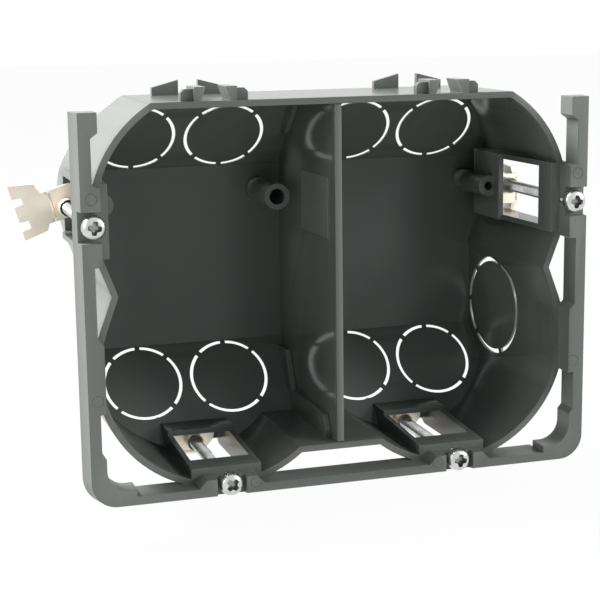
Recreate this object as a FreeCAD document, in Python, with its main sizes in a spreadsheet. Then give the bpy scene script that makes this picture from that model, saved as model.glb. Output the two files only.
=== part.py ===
import FreeCAD, Part
import os
import re
import Sketcher
from FreeCAD import Rotation, Vector

# Flush back box, two gang, for a hollow wall.
# X runs across the box, Y from the front of the frame into the wall, Z up.
# The origin lies on the front of the frame, midway between the two gangs and midway between the
# upper and the lower lobes. Every length is in millimetres and every angle in degrees.

SIZES = {
    # Outline of the moulded shell, seen from the front: four round lobes with a flat top.
    "lobe_across": (29.0, "lobe centre to the middle of the box, across"),
    "lobe_up": (17.5, "lobe centre to the middle of the box, up"),
    "lobe_radius": (30.35, "outer radius of a lobe"),
    "top_flat": (43.65, "outer height of the flat top"),
    "floor_flat": (41.2, "outer depth of the flat floor between the lobes"),
    "waist_across": (54.8, "outer tip of the notch between two lobes"),
    "waist_up": (8.0, "half height of that notch"),
    "wall": (1.5, "thickness of the moulded walls"),
    # Depth of the shell.
    "rim": (5.4, "front edge of the shell behind the front of the frame"),
    "back": (52.7, "inner face of the back wall"),
    "side_across": (57.9, "inner face of the flat side of a lower lobe, at the rim"),
    "side_draft": (5.0, "lean of those flat sides"),
    "slope_angle": (38.5, "lean of the sloped top and floor from upright"),
    "slope_at": (46.0, "depth at which the slopes' heights are given"),
    "slope_top": (32.45, "inner height of the top slope at that depth"),
    "slope_floor": (30.95, "inner height of the floor slope at that depth, downwards"),
    # Break-out rings for cable entries.
    "entry_radius": (10.0, "mean radius of the rings on the slopes"),
    "entry_outer": (40.4, "outer rings to the middle of the box"),
    "entry_inner": (17.3, "inner rings to the middle of the box"),
    "entry_back": (1.05, "centres of the rings up their slope from the depth of its heights"),
    "entry_slot": (0.85, "width of the slot round a ring on the slopes"),
    "entry_bridge": (1.3, "width of a bridge across the slot"),
    "entry_web": (0.3, "thickness of the thinned wall round the rings"),
    "entry_margin": (1.6, "thinned wall beyond a ring's slot"),
    "side_entry_radius": (12.55, "mean radius of the large ring on the right wall"),
    "side_entry_slot": (1.15, "width of the slot round the large ring"),
    "side_entry_deep": (38.9, "centre of the large ring, depth"),
    "side_entry_low": (15.7, "centre of the large ring, below the middle"),
    # Frame round the front, open at the top.
    "frame_across": (62.0, "outer edge of the frame's front, across"),
    "frame_low": (48.1, "lower edge of the frame's front"),
    "frame_high": (42.3, "top of the frame's two uprights"),
    "frame_deep": (6.2, "depth of the uprights"),
    "frame_flare": (1.1, "how far the outer faces spread over that depth"),
    "upright_thick": (2.7, "thickness of an upright at the front"),
    "sill_thick": (2.1, "thickness of the bottom bar"),
    "sill_deep": (7.8, "depth of the bottom bar"),
    "corner_round": (6.0, "outer radius of the lower corners"),
    "corner_inner": (5.0, "inner radius of the lower corners"),
    "corner_thick": (3.7, "thickness of the frame at its lower corners"),
    "corner_high": (11.5, "height of the thickened corner above the frame's lower edge"),
    "corner_wide": (10.5, "width of the thickened corner from the frame's outer edge"),
    "joint_reach": (1.4, "how far the joints to the lower lobes reach inward of an upright"),
    "joint_high": (8.6, "upper end of those joints below the middle"),
    "joint_low": (26.0, "their lower end below the middle"),
    "hook_reach": (1.65, "how far a hook reaches inward at the top of an upright"),
    "hook_high": (4.5, "height of the hook's straight face"),
    "hook_bevel": (1.2, "height of the bevel under it"),
    # Clamps: places of the four screws.
    "side_clamp_across": (59.1, "side clamp screws to the middle of the box"),
    "side_clamp_up": (16.8, "side clamp screws above the middle"),
    "low_clamp_across": (28.9, "lower clamp screws to the middle of the box"),
    "low_clamp_down": (45.65, "lower clamp screws below the middle"),
    # Clamp channel, measured from the screw axis: outward, and along the wall.
    "channel_half": (7.3, "half width of a channel between its cheeks"),
    "cheek": (1.3, "thickness of a cheek"),
    "side_channel_shift": (0.6, "side channels sit higher than their screws"),
    "side_plate": (4.1, "side plate's inner face at the rim, inward of the screw"),
    "low_plate": (3.05, "lower plate's inner face at the rim, inward of the screw"),
    "plate_lean": (3.0, "inward lean of the plates"),
    "side_cheek_reach": (0.9, "outer edge of the side cheeks beyond the screw"),
    "low_cheek_reach": (2.15, "outer edge of the lower cheeks beyond the screw"),
    "side_cheek_end": (46.5, "rear end of the side housings"),
    "low_cheek_end": (44.8, "rear end of the lower housings"),
    "cheek_round": (4.0, "rounded rear outer corner of a cheek"),
    "shaft_room": (0.2, "room between the front bridge and the screw"),
    "window_front": (11.6, "front edge of the window into the box"),
    "window_back": (30.5, "rear edge of the window, where the pocket starts"),
    "pocket_step": (1.2, "step of the pocket's cover into the box"),
    "pocket_wall": (1.3, "wall of the pocket"),
    "notch_half": (3.55, "half width of the notch for a screw head"),
    "notch_floor": (2.7, "floor of that notch"),
    "pad_inward": (1.6, "inner face of the bosses beside a screw"),
    "side_pad_half": (9.0, "half length of the two bosses beside a side screw"),
    "low_pad_half": (7.8, "half length of the two bosses beside a lower screw"),
    "low_pad_bevel": (1.8, "bevel at the ends of the lower bosses"),
    # Clamp screws.
    "screw_radius": (1.5, "outer radius of the thread"),
    "screw_tip": (43.2, "depth of the screw's end"),
    "head_radius": (2.85, "radius of the pan head"),
    "head_front": (0.65, "front of the head before the frame's front"),
    "head_high": (2.4, "height of the head"),
    "recess_wide": (3.2, "width across the cross recess"),
    "recess_arm": (0.9, "width of one arm of the recess"),
    "recess_deep": (1.5, "depth of the recess"),
    "screw_clearance": (0.15, "radial clearance of the frame's screw holes"),
    # Carrier: stamped plate with a threaded collar and two ears for the claw's hinge.
    "sheet": (1.0, "thickness of the stamped plates"),
    "carrier_at": (40.5, "front face of the carrier's plate"),
    "carrier_inward": (3.0, "carrier's plate inward of the screw"),
    "collar_radius": (2.2, "outer radius of the collar"),
    "collar_high": (3.5, "height of the collar in front of the plate"),
    "thread_clearance": (0.05, "radial clearance of the collar on the thread"),
    "ear_gap": (0.2, "gap between an ear and the claw"),
    "ear_reach": (1.45, "edge of an ear beyond the hinge axis"),
    "ear_bevel": (0.7, "bevelled corners of an ear"),
    "hinge_out": (3.4, "hinge axis outward of the screw"),
    "hinge_pin": (0.5, "radius of the hinge pin"),
    "knuckle_radius": (1.15, "radius of the claw's rolled knuckle"),
    "hinge_clearance": (0.05, "radial clearance of the knuckle on the pin"),
    "knuckle_gap": (0.3, "gap between the knuckle and the carrier's plate"),
    # Claw: three teeth at its outer edge, measured from the screw axis.
    "claw_reach": (12.1, "tips of the teeth outward of the screw"),
    "tooth_deep": (2.3, "depth of the gaps between the teeth"),
    "tooth_slant": (0.2, "slant of a tooth's flanks"),
    "claw_low": (4.7, "lower end of the toothed edge"),
    "claw_high": (9.3, "upper end of the toothed edge"),
    "low_tooth": (2.3, "width of the lowest tooth"),
    "low_gap": (2.3, "gap above the lowest tooth"),
    "mid_tooth": (3.9, "width of the middle tooth"),
    "high_tooth": (3.5, "width of the highest tooth"),
    "shank_low": (2.7, "lower edge of the claw between the ears"),
    "shank_high": (5.25, "upper edge of the claw between the ears"),
    "shoulder_out": (6.1, "where the claw widens, outward of the screw"),
    "claw_fold": (90.0, "angle through which a claw folds back"),
    "left_tilt": (16.0, "turn of the left clamp about its screw"),
    # Posts for the device screws on the back wall.
    "post_outer": (51.2, "outer posts to the middle of the box"),
    "post_inner": (6.8, "inner posts to the middle of the box"),
    "post_up": (17.4, "posts above the middle"),
    "post_tip": (34.0, "depth of the posts' tips"),
    "post_inner_radius": (3.3, "radius of an inner post"),
    "post_outer_radius": (2.75, "radius of an outer post"),
    "post_inner_bore": (2.0, "radius of an inner post's blind hole"),
    "post_outer_bore": (1.15, "radius of an outer post's blind hole"),
    "post_bore_deep": (12.0, "depth of that hole"),
    # Partition between the gangs and its guide ribs.
    "divider_thick": (1.75, "thickness of the partition"),
    "divider_front": (5.9, "front edge of the partition"),
    "divider_clearance": (0.1, "clearance round the partition"),
    "guide_thick": (1.4, "thickness of a guide rib"),
    "guide_front": (10.5, "front end of the lower guides"),
    "guide_high": (5.3, "height of the lower guides above the floor"),
    "guide_bevel": (2.2, "length of the bevel at the front of the lower guides"),
    "guide_step": (2.0, "height of the lower guides' front end above the floor"),
    "guide_turn": (38.8, "depth at which the lower guides start to rise along the slope"),
    "guide_end": (43.8, "depth of the lower guides' rear upper corner"),
    "guide_end_low": (24.7, "that corner below the middle"),
    "top_guide_front": (34.0, "front end of the upper guides"),
    "top_guide_step": (2.4, "drop of that end below the top"),
    "top_guide_end": (41.6, "depth of the upper guides' rear lower corner"),
    "top_guide_low": (32.7, "that corner above the middle"),
    "grip_front": (11.0, "front of the ribbed patch"),
    "grip_long": (22.0, "length of the ribbed patch"),
    "grip_low": (9.4, "lower edge of the ribbed patch"),
    "grip_tall": (14.9, "height of the ribbed patch"),
    "grip_proud": (0.3, "height of its ribs"),
    "grip_rib": (0.8, "width of one of its ribs"),
    # Couplers on the flat top, for a further box: a dovetail socket at the rim and two fins at the back.
    "coupler_left": (-29.3, "middle of the left coupler"),
    "coupler_right": (28.0, "middle of the right coupler"),
    "socket_high": (3.25, "height of the socket's blocks above the top"),
    "socket_deep": (8.0, "depth of the socket's blocks"),
    "socket_foot": (3.7, "half width of the socket's gap at its foot"),
    "socket_mouth": (2.35, "half width of the gap at its top"),
    "socket_half": (5.0, "half width across the two blocks"),
    "lug_half": (7.9, "half width across the lugs outside the blocks"),
    "lug_back": (1.4, "how far the lugs' faces lie behind the rim"),
    "lug_deep": (2.0, "depth of a lug"),
    "lug_drop": (0.5, "how far a lug stays below the blocks"),
    "fin_gap": (2.5, "half width of the gap between the two fins"),
    "fin_wide": (6.55, "width of a fin"),
    "fin_high": (3.65, "height of a fin beside the gap"),
    "fin_fall": (1.7, "how far a fin's top falls away from the gap"),
    "fin_thick": (1.6, "thickness of a fin"),
    "fin_ahead": (4.4, "rear face of the fins in front of the top slope's edge"),
}

GRIP_RIBS = 13
BRIDGE_ANGLES = (0, 45, 135, 225, 315)
SIDE_BRIDGE_ANGLES = (0, 45, 109, 251, 315)
OVERLAP = 0.5
FAR = 80

document = FreeCAD.newDocument("flush_back_box")
sizes = document.addObject("Spreadsheet::Sheet", "Sizes")
for row, (name, (value, meaning)) in enumerate(SIZES.items(), start=1):
    sizes.set(f"A{row}", name)
    sizes.set(f"B{row}", str(value))
    sizes.set(f"C{row}", meaning)
    sizes.setAlias(f"B{row}", name)
document.recompute()

WORD = re.compile(r"[A-Za-z_][A-Za-z_0-9]*")


def formula(text):
    """The text as an expression, with each size in it read from its cell."""
    def cell(found):
        word = found.group()
        return "Sizes." + word if word in SIZES else word
    return WORD.sub(cell, str(text))


def placement(base, axis=(0, 0, 1), angle=0):
    """One step of a placement, as expression text."""
    x, y, z = (formula(part) for part in base)
    turn = f"rotation(vector({axis[0]}; {axis[1]}; {axis[2]}); {formula(angle)})"
    return f"placement(vector({x}; {y}; {z}); {turn})"


def place(piece, *steps):
    """Bind the whole placement to steps that are applied from the last to the first."""
    piece.setExpression("Placement", " * ".join(steps))
    return piece


def block(name, x, y, z):
    """A box between a low and a high limit on each axis."""
    piece = document.addObject("Part::Box", name)
    for side, (low, high) in zip(("Length", "Width", "Height"), (x, y, z)):
        piece.setExpression(side, formula(f"({high}) - ({low})"))
    return place(piece, placement((x[0], y[0], z[0])))


def rod(name, radius, centre, low, high, along="Y", tip_radius=None):
    """A cylinder, or a cone, between two limits on its axis; centre gives its other two places."""
    cone = tip_radius is not None
    piece = document.addObject("Part::Cone" if cone else "Part::Cylinder", name)
    if cone:
        piece.setExpression("Radius1", formula(radius))
        piece.setExpression("Radius2", formula(tip_radius))
    else:
        piece.setExpression("Radius", formula(radius))
    piece.setExpression("Height", formula(f"({high}) - ({low})"))
    first, second = centre
    if along == "Y":
        return place(piece, placement((first, low, second), (1, 0, 0), -90))
    return place(piece, placement((first, second, low)))


SHEETS = {
    "XZ": ((1, 0, 0), 90, Vector(0, 1, 0), lambda start: (0, start, 0)),
    "XY": ((0, 0, 1), 0, Vector(0, 0, 1), lambda start: (0, 0, start)),
    "YZ": ((1, 1, 1), 120, Vector(1, 0, 0), lambda start: (start, 0, 0)),
}


def prism(name, plane, corners, low, high):
    """A straight-sided outline, drawn as a sketch bound to the sizes, drawn out between two limits."""
    axis, angle, direction, base = SHEETS[plane]
    sketch = document.addObject("Sketcher::SketchObject", name + "_outline")
    count = len(corners)
    spots = [Rotation(Vector(0, 0, 1), 360 * i / count).multVec(Vector(FAR, 0, 0)) for i in range(count)]
    for i in range(count):
        sketch.addGeometry(Part.LineSegment(spots[i], spots[(i + 1) % count]), False)
    for i in range(count):
        sketch.addConstraint(Sketcher.Constraint("Coincident", i, 2, (i + 1) % count, 1))
    for i, corner in enumerate(corners):
        for kind, place_text, spot in zip(("DistanceX", "DistanceY"), corner, spots[i]):
            number = sketch.addConstraint(Sketcher.Constraint(kind, -1, 1, i, 1, spot))
            sketch.setExpression(f"Constraints[{number}]", formula(place_text))
    place(sketch, placement(base(low), axis, angle))
    piece = document.addObject("Part::Extrusion", name)
    piece.Base = sketch
    piece.DirMode = "Custom"
    piece.Dir = direction
    piece.Solid = True
    piece.setExpression("LengthFwd", formula(f"({high}) - ({low})"))
    return piece


def fuse(name, pieces):
    """One solid from pieces that overlap."""
    whole = document.addObject("Part::MultiFuse", name)
    whole.Shapes = pieces
    whole.Refine = True
    return whole


def common(name, pieces):
    """What all the pieces share."""
    whole = document.addObject("Part::MultiCommon", name)
    whole.Shapes = pieces
    whole.Refine = True
    return whole


def cut(name, base, tool):
    """The base less the tool."""
    whole = document.addObject("Part::Cut", name)
    whole.Base = base
    whole.Tool = tool
    whole.Refine = True
    return whole


# The shell

def lobed_outline(name, inset, front, rear):
    """The four-lobed outline, moved inward by the inset and drawn out in depth."""
    radius = f"(lobe_radius - {inset})"
    meet = f"(lobe_across + sqrt({radius}^2 - (lobe_up - waist_up)^2))"
    top = f"(top_flat - {inset})"
    low = f"(floor_flat - {inset})"
    tip = f"(waist_across - {inset})"
    right = [
        ("lobe_across", top),
        (meet, "waist_up"),
        (tip, "0"),
        (meet, "-waist_up"),
        ("lobe_across", f"-{low}"),
    ]
    left = [(f"-{x}", z) for x, z in reversed(right)]
    core = prism(name + "_core", "XZ", right + left, front, rear)
    lobes = [
        rod(f"{name}_lobe_{i}{k}", radius, (f"{i} * lobe_across", f"{k} * lobe_up"), front, rear)
        for i in (-1, 1)
        for k in (-1, 1)
    ]
    whole = fuse(name + "_lobes", [core] + lobes)
    above = block(name + "_above", (-FAR, FAR), (f"{front} - 1", f"{rear} + 1"), (top, FAR))
    return cut(name + "_outline", whole, above)


def slope_height(side, depth, grow):
    """Height of the top (side 1) or the floor (side -1) slope at a depth, moved outward by grow."""
    level = "slope_top" if side > 0 else "-slope_floor"
    rise = f"({grow}) / sin(slope_angle) - (({depth}) - slope_at) / tan(slope_angle)"
    return f"({level} + {side} * ({rise}))"


def slope_depth(side, height, grow):
    """Depth at which that slope has a height, given outward."""
    level = "slope_top" if side > 0 else "slope_floor"
    return f"(slope_at - (({height}) - {level} - ({grow}) / sin(slope_angle)) * tan(slope_angle))"


def tapered(name, outline, front, rear, grow):
    """The outline's solid cut down to the sloped top and floor, and the lower lobes to flat leaning sides."""
    slopes = prism(name + "_slopes", "YZ", [
        (front, f"-{FAR}"),
        (slope_depth(-1, FAR, grow), f"-{FAR}"),
        (rear, slope_height(-1, rear, grow)),
        (rear, slope_height(1, rear, grow)),
        (slope_depth(1, FAR, grow), f"{FAR}"),
        (front, f"{FAR}"),
    ], -FAR, FAR)

    def side(depth):
        return f"(side_across + ({grow}) - (({depth}) - rim) * tan(side_draft))"

    whole = common(name + "_sloped", [outline, slopes])
    for i in (-1, 1):
        beyond = prism(f"{name}_side_{i}", "XY", [
            (f"{i} * {side(front)}", front),
            (f"{i} * {FAR}", front),
            (f"{i} * {FAR}", f"{rear} + 1"),
            (f"{i} * {side(rear + ' + 1')}", f"{rear} + 1"),
        ], -FAR, 0)
        whole = cut(f"{name}_{i}", whole, beyond)
    return whole


outside = tapered("outside", lobed_outline("outer", "0", "rim", "back + wall"), "rim", "back + wall", "wall")
hollow = tapered("hollow", lobed_outline("inner", "wall", "rim - 1", "back"), "rim - 1", "back", "0")
shell = cut("shell", outside, hollow)

# The frame

rear_across = "(frame_across + frame_flare)"
rear_low = "(frame_low + frame_flare)"
flared = document.addObject("Part::Wedge", "flared")
WEDGE = {
    "Xmin": "-frame_across", "Xmax": "frame_across", "X2min": f"-{rear_across}", "X2max": rear_across,
    "Zmin": "-frame_low", "Zmax": "frame_high", "Z2min": f"-{rear_low}", "Z2max": "frame_high",
    "Ymin": "0", "Ymax": "frame_deep",
}
for side, limit in WEDGE.items():
    flared.setExpression(side, formula(limit))

opening = block(
    "opening", ("-frame_across + upright_thick", "frame_across - upright_thick"),
    ("-1", "frame_deep + 1"), ("-frame_low + sill_thick", FAR),
)
corner_tools = []
corner_fills = []
for i in (-1, 1):
    round_x = "(frame_across - corner_round)"
    round_z = "(frame_low - corner_round)"
    limits = (round_x, FAR) if i > 0 else (-FAR, f"-{round_x}")
    square = block(f"corner_square_{i}", limits, ("-1", "frame_deep + 1"), (-FAR, f"-{round_z}"))
    rounding = rod(
        f"corner_rounding_{i}", "corner_round", (f"{i} * {round_x}", f"-{round_z}"),
        "0", "frame_deep", tip_radius="corner_round + frame_flare",
    )
    corner_tools.append(cut(f"corner_tool_{i}", square, rounding))

bars = cut("bars", flared, fuse("frame_removed", [opening] + corner_tools))


def mirrored(points, i):
    """Outline points on the right (i is 1) or the left (i is -1)."""
    return [(f"{i} * ({x})", z) for x, z in points]


thick_x = "(frame_across - corner_thick)"
thick_z = "(frame_low - corner_thick)"
frame_extras = []
for i in (-1, 1):
    slab = prism(f"corner_slab_{i}", "XZ", mirrored([
        ("frame_across - corner_wide", "-frame_low + sill_thick - 0.5"),
        ("frame_across - corner_wide", f"-{thick_z}"),
        (thick_x, f"-{thick_z}"),
        (thick_x, "-frame_low + corner_high"),
        ("frame_across - upright_thick", "-frame_low + corner_high + 1.2"),
        ("frame_across - upright_thick + 0.5", "-frame_low + corner_high + 1.2"),
        ("frame_across - upright_thick + 0.5", "-frame_low + sill_thick - 0.5"),
    ], i), "0", "frame_deep")
    centre = (f"{i} * ({thick_x} - corner_inner)", f"-{thick_z} + corner_inner")
    fillet_x = (f"{thick_x} - corner_inner", thick_x)
    if i < 0:
        fillet_x = (f"-{thick_x}", f"-({thick_x} - corner_inner)")
    fillet_block = block(
        f"corner_fillet_block_{i}", fillet_x, ("0", "frame_deep"),
        (f"-{thick_z}", f"-{thick_z} + corner_inner"),
    )
    fillet_round = rod(f"corner_fillet_round_{i}", "corner_inner", centre, "-1", "frame_deep + 1")
    fillet = cut(f"corner_fillet_{i}", fillet_block, fillet_round)
    hook = prism(f"hook_{i}", "XZ", mirrored([
        ("frame_across - upright_thick - hook_reach", "frame_high"),
        ("frame_across - upright_thick - hook_reach", "frame_high - hook_high"),
        ("frame_across - upright_thick", "frame_high - hook_high - hook_bevel"),
        ("frame_across - 1", "frame_high - hook_high - hook_bevel"),
        ("frame_across - 1", "frame_high"),
    ], i), "0", "frame_deep")
    joint = prism(f"joint_{i}", "XZ", mirrored([
        ("frame_across - upright_thick - joint_reach", "-joint_high - joint_reach"),
        ("frame_across - upright_thick", "-joint_high"),
        ("frame_across - 1", "-joint_high"),
        ("frame_across - 1", "-joint_low"),
        ("frame_across - upright_thick - joint_reach", "-joint_low"),
    ], i), "0", "frame_deep")
    frame_extras += [slab, fillet, hook, joint]

sill = prism("sill", "YZ", [
    ("0", "-frame_low + sill_thick"),
    ("0", "-frame_low"),
    ("frame_deep", f"-{rear_low}"),
    ("sill_deep", f"-{rear_low}"),
    ("sill_deep", "-frame_low + sill_thick"),
], "-(frame_across - corner_wide)", "frame_across - corner_wide")


# The clamp channels, each drawn about its screw axis: X outward, Y in depth, Z along the wall

CLAMPS = {
    "left": {
        "at": ("-side_clamp_across", "0", "side_clamp_up"), "turn": "180", "kind": "side",
        "shift": "-side_channel_shift", "tilt": "-left_tilt", "fold": "0",
    },
    "right": {
        "at": ("side_clamp_across", "0", "side_clamp_up"), "turn": "0", "kind": "side",
        "shift": "side_channel_shift", "tilt": "0", "fold": "claw_fold",
    },
    "bottom_left": {
        "at": ("-low_clamp_across", "0", "-low_clamp_down"), "turn": "90", "kind": "low",
        "shift": "0", "tilt": "0", "fold": "claw_fold",
    },
    "bottom_right": {
        "at": ("low_clamp_across", "0", "-low_clamp_down"), "turn": "90", "kind": "low",
        "shift": "0", "tilt": "0", "fold": "claw_fold",
    },
}


def clamp_step(clamp, extra_turn="0"):
    """The placement step from a clamp's own axes to the box."""
    return placement(clamp["at"], (0, 1, 0), f"{clamp['turn']} + {extra_turn}")


def housing(name, clamp):
    """The solid form of a channel, and the room to be cut from it and from the shell."""
    kind = clamp["kind"]
    shift = clamp["shift"]
    reach = f"{kind}_cheek_reach"
    end = f"{kind}_cheek_end"
    front_face = f"-{kind}_plate"
    rear_face = f"({front_face} - (window_back - rim) * tan(plate_lean))"
    cover = f"({rear_face} - pocket_step)"
    half = "channel_half + cheek"
    form = prism(f"{name}_housing_form", "XY", [
        (reach, "rim"),
        (front_face, "rim"),
        (rear_face, "window_back"),
        (cover, "window_back"),
        (cover, end),
        (reach, end),
    ], f"{shift} - ({half})", f"{shift} + {half}")
    corner = block(
        f"{name}_housing_corner", (f"{reach} - cheek_round", f"{reach} + 1"),
        (f"{end} - cheek_round", f"{end} + 1"), (-FAR, FAR),
    )
    rounding = rod(
        f"{name}_housing_rounding", "cheek_round", (f"{reach} - cheek_round", f"{end} - cheek_round"),
        -FAR, FAR, along="Z",
    )
    softened = cut(f"{name}_housing", form, cut(f"{name}_housing_cut", corner, rounding))
    place(softened, clamp_step(clamp))

    outward = f"({reach} + 8)"
    bridge = "-(screw_radius + shaft_room)"
    room = prism(f"{name}_channel", "XY", [
        (outward, "frame_deep"),
        (bridge, "frame_deep"),
        (bridge, "window_front"),
        ("-9", "window_front"),
        ("-9", "window_back"),
        (f"{cover} + pocket_wall", "window_back"),
        (f"{cover} + pocket_wall", f"{end} - pocket_wall"),
        (outward, f"{end} - pocket_wall"),
    ], f"{shift} - channel_half", f"{shift} + channel_half")
    notch = block(
        f"{name}_notch", ("-head_radius - 3", "frame_flare + 6"), ("-1", "notch_floor"),
        ("-notch_half", "notch_half"),
    )
    hole = rod(f"{name}_hole", "screw_radius + screw_clearance", ("0", "0"), "-1", "window_front + 1")
    removed = fuse(f"{name}_removed", [room, notch, hole])
    place(removed, clamp_step(clamp))
    return softened, removed


def bosses(name, clamp):
    """The raised length of the frame beside a screw, up to its front face."""
    kind = clamp["kind"]
    out = "frame_across - side_clamp_across" if kind == "side" else "frame_low - low_clamp_down"
    bevel = "low_pad_bevel" if kind == "low" else "0.3"
    half = f"{kind}_pad_half"
    outline = [
        (f"{out} - 0.5", f"-{half}"),
        (f"-pad_inward + {bevel}", f"-{half}"),
        ("-pad_inward", f"-{half} + {bevel}"),
        ("-pad_inward", f"{half} - {bevel}"),
        (f"-pad_inward + {bevel}", half),
        (f"{out} - 0.5", half),
    ]
    pads = prism(f"{name}_bosses", "XZ", outline, "0", "frame_deep")
    front = prism(f"{name}_front_wall", "XY", [
        (out, "0.4"),
        ("-pad_inward", "0.4"),
        ("-pad_inward", "frame_deep"),
        (f"{out} + frame_flare", "frame_deep"),
    ], f"-{half} + {bevel} + 0.5", f"{half} - {bevel} - 0.5")
    whole = fuse(f"{name}_front", [pads, front])
    return place(whole, clamp_step(clamp))


housings = []
removed = []
for name, clamp in CLAMPS.items():
    solid, room = housing(name, clamp)
    housings += [solid, bosses(name, clamp)]
    removed.append(room)

# Break-out rings: a slot through the wall, crossed by bridges that hold the disc


def ring(name, radius, slot_wide, angles, steps):
    """The slot of one break-out ring, drawn about its own axis, with one bridge on its Y side."""
    disc = rod(f"{name}_disc", f"{radius} + {slot_wide} / 2", ("0", "0"), "-wall", "wall", along="Z")
    plug = rod(
        f"{name}_plug", f"{radius} - {slot_wide} / 2", ("0", "0"), "-2 * wall", "2 * wall", along="Z",
    )
    webs = []
    for angle in angles:
        web = block(
            f"{name}_web_{angle}", ("-entry_bridge / 2", "entry_bridge / 2"), ("0", f"{radius} + wall"),
            ("-2 * wall", "2 * wall"),
        )
        turn = placement(("0", "0", "0"), (0, 0, 1), angle)
        webs.append(place(web, turn, placement(("-entry_bridge / 2", "0", "-2 * wall"))))
    slot = cut(f"{name}_slot", disc, fuse(f"{name}_kept", [plug] + webs))
    return place(slot, *steps)


rings = []
panels = []
for side, word in ((1, "top"), (-1, "floor")):
    height = slope_height(side, "slope_at", "wall / 2")
    tilt = f"{side} * (slope_angle - 90)"
    for i, column in ((-1, "entry_outer"), (-1, "entry_inner"), (1, "entry_inner"), (1, "entry_outer")):
        steps = [
            placement((f"{i} * {column}", "slope_at", height), (1, 0, 0), tilt),
            placement(("0", "entry_back", "0")),
        ]
        label = f"{word}_{column}_{'left' if i < 0 else 'right'}"
        rings.append(ring(label, "entry_radius", "entry_slot", BRIDGE_ANGLES, steps))
    panel_half = "(entry_radius + entry_slot / 2 + entry_margin)"
    depth_limits = ("-wall / 2 + entry_web", "3") if side > 0 else ("-3", "wall / 2 - entry_web")
    for i in (-1, 1):
        ends = ("entry_inner", "entry_outer") if i > 0 else ("-entry_outer", "-entry_inner")
        panel = block(
            f"{word}_panel_{i}", (f"{ends[0]} - {panel_half}", f"{ends[1]} + {panel_half}"),
            (f"-{panel_half}", panel_half), depth_limits,
        )
        corner = placement((f"{ends[0]} - {panel_half}", f"entry_back - {panel_half}", depth_limits[0]))
        panels.append(place(panel, placement(("0", "slope_at", height), (1, 0, 0), tilt), corner))
wall_x = "side_across + wall / 2 - (side_entry_deep - rim) * tan(side_draft)"
side_steps = [
    placement((wall_x, "side_entry_deep", "-side_entry_low"), (0, 0, 1), "side_draft"),
    placement(("0", "0", "0"), (0, 1, 0), 90),
]
rings.append(ring("side_entry", "side_entry_radius", "side_entry_slot", SIDE_BRIDGE_ANGLES, side_steps))
side_panel = rod(
    "side_panel", "side_entry_radius + side_entry_slot / 2 + entry_margin", ("0", "0"),
    "-wall / 2 + entry_web", "3", along="Z",
)
panels.append(place(side_panel, *side_steps))

# Posts, guide ribs and couplers

posts = []
post_bores = []
for i in (-1, 1):
    for column in ("post_outer", "post_inner"):
        label = f"{column}_{'left' if i < 0 else 'right'}"
        centre = (f"{i} * {column}", "post_up")
        posts.append(rod(label, f"{column}_radius", centre, "post_tip", f"back + {OVERLAP}"))
        post_bores.append(rod(
            f"{label}_bore", f"{column}_bore", centre, "post_tip - 1", "post_tip + post_bore_deep",
        ))

floor_in = "-(floor_flat - wall)"
guide_sections = {
    "floor": [
        ("guide_front", f"{floor_in} - wall / 2"),
        ("guide_front", f"{floor_in} + guide_step"),
        ("guide_front + guide_bevel", f"{floor_in} + guide_high"),
        ("guide_turn", f"{floor_in} + guide_high"),
        ("guide_end", "-guide_end_low"),
        (slope_depth(-1, "guide_end_low", "wall / 2"), "-guide_end_low"),
        (slope_depth(-1, "floor_flat", "wall / 2"), f"{floor_in} - wall / 2"),
    ],
    "top": [
        ("top_guide_front", "top_flat - wall / 2"),
        ("top_guide_front", "top_flat - wall - top_guide_step"),
        ("top_guide_end", "top_guide_low"),
        (slope_depth(1, "top_guide_low", "wall / 2"), "top_guide_low"),
        (slope_depth(1, "top_flat", "wall / 2"), "top_flat - wall / 2"),
    ],
}
guides = []
guide_inner = "divider_thick / 2 + divider_clearance"
for word, corners in guide_sections.items():
    for i in (-1, 1):
        limits = (guide_inner, f"{guide_inner} + guide_thick")
        if i < 0:
            limits = (f"-({guide_inner} + guide_thick)", f"-({guide_inner})")
        guides.append(prism(f"{word}_guide_{i}", "YZ", corners, *limits))
kept_guides = common("kept_guides", [fuse("guides", guides), outside])

couplers = []
foot = f"top_flat - {OVERLAP}"
block_top = "top_flat + socket_high"
fin_rear = f"({slope_depth(1, 'top_flat', 'wall')} - fin_ahead)"
for label in ("left", "right"):
    middle = f"coupler_{label}"
    for i in (-1, 1):
        couplers.append(prism(f"{label}_socket_{i}", "XZ", [
            (f"{middle} + {i} * socket_half", foot),
            (f"{middle} + {i} * socket_half", block_top),
            (f"{middle} + {i} * socket_mouth", block_top),
            (f"{middle} + {i} * socket_foot", foot),
        ], "rim", "rim + socket_deep"))
        couplers.append(prism(f"{label}_lug_{i}", "XZ", [
            (f"{middle} + {i} * (socket_half - 0.3)", foot),
            (f"{middle} + {i} * (socket_half - 0.3)", f"{block_top} - lug_drop"),
            (f"{middle} + {i} * (lug_half - 0.8)", f"{block_top} - lug_drop"),
            (f"{middle} + {i} * lug_half", f"{block_top} - lug_drop - 0.8"),
            (f"{middle} + {i} * lug_half", foot),
        ], "rim + lug_back", "rim + lug_back + lug_deep"))
        couplers.append(prism(f"{label}_fin_{i}", "XZ", [
            (f"{middle} + {i} * fin_gap", "top_flat - wall / 2"),
            (f"{middle} + {i} * fin_gap", "top_flat + fin_high"),
            (f"{middle} + {i} * (fin_gap + fin_wide)", "top_flat + fin_high - fin_fall"),
            (f"{middle} + {i} * (fin_gap + fin_wide)", "top_flat - wall / 2"),
        ], f"{fin_rear} - fin_thick", fin_rear))

moulding = fuse("moulding", [shell, bars, sill, kept_guides] + frame_extras + housings + posts + couplers)
back_box = cut("back_box", moulding, fuse("all_removed", removed + rings + panels + post_bores))

# Partition

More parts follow.
